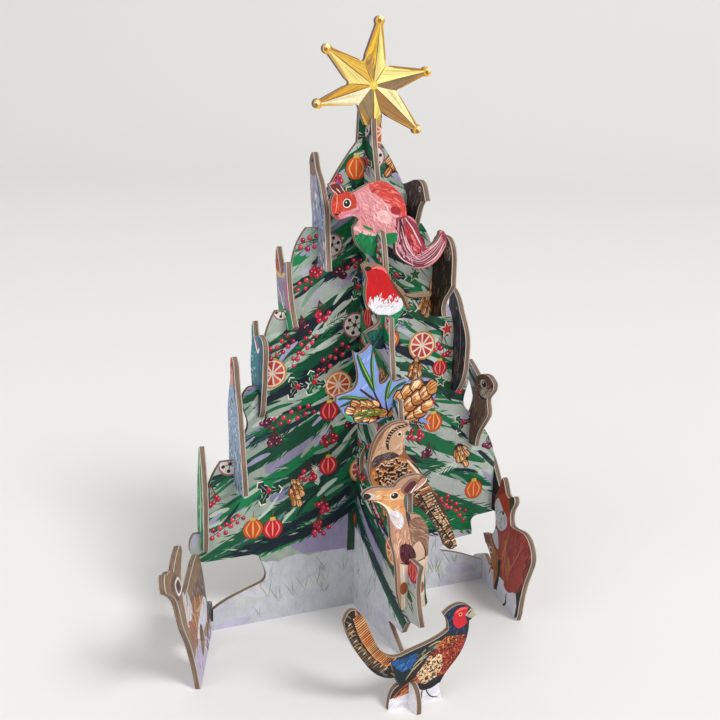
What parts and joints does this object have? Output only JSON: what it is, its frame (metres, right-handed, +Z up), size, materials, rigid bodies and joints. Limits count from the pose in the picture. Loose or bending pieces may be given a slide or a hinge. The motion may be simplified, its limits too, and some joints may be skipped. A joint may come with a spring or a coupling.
{
  "type": "advent calendar tree",
  "caption": "Standing tree of two crossed slotted boards with die-cut animal, bird, sprig and star cards pushed into its ledges and one loose bird on a cross foot.",
  "frame": {"origin": "middle of the tree's foot, where the two panels cross, on the surface it stands on", "axes": "+Z up along the line where the panels cross, +X to the right along the wide panel, -Y to the front along the deep panel, towards the loose bird"},
  "size_m": [0.1705, 0.1441, 0.2368],
  "materials": {
    "tree_board": "matte",
    "star_board": "matte",
    "squirrel_board": "matte",
    "robin_board": "matte",
    "sprig_board": "matte",
    "partridge_board": "matte",
    "deer_board": "matte",
    "blue_bird_board": "matte",
    "small_bird_board": "matte",
    "kingfisher_board": "matte",
    "leaf_board": "matte",
    "stag_board": "matte",
    "dark_bird_board": "matte",
    "owl_board": "matte",
    "rabbit_board": "matte",
    "fox_board": "matte",
    "back_board": "matte",
    "pheasant_board": "matte",
    "white_board": "matte"
  },
  "bodies": {
    "root": {"tree_panel_wide": "tree_board", "tree_panel_deep": "tree_board", "star": "star_board", "squirrel": "squirrel_board", "robin": "robin_board", "cone_sprig": "sprig_board", "partridge": "partridge_board", "deer": "deer_board", "left_bird": "blue_bird_board", "woodpecker": "blue_bird_board", "left_small_bird": "small_bird_board", "kingfisher": "kingfisher_board", "slim_leaf": "leaf_board", "back_leaf": "leaf_board", "stag": "stag_board", "right_bird": "dark_bird_board", "ruffled_bird": "dark_bird_board", "black_bird": "dark_bird_board", "brown_owl": "owl_board", "rabbit": "rabbit_board", "fox_and_cub": "fox_board", "back_bird": "back_board", "back_cone": "back_board", "back_bauble": "back_board", "back_bell": "back_board", "pheasant": "pheasant_board", "pheasant_foot": "white_board"}
  },
  "joints": []
}
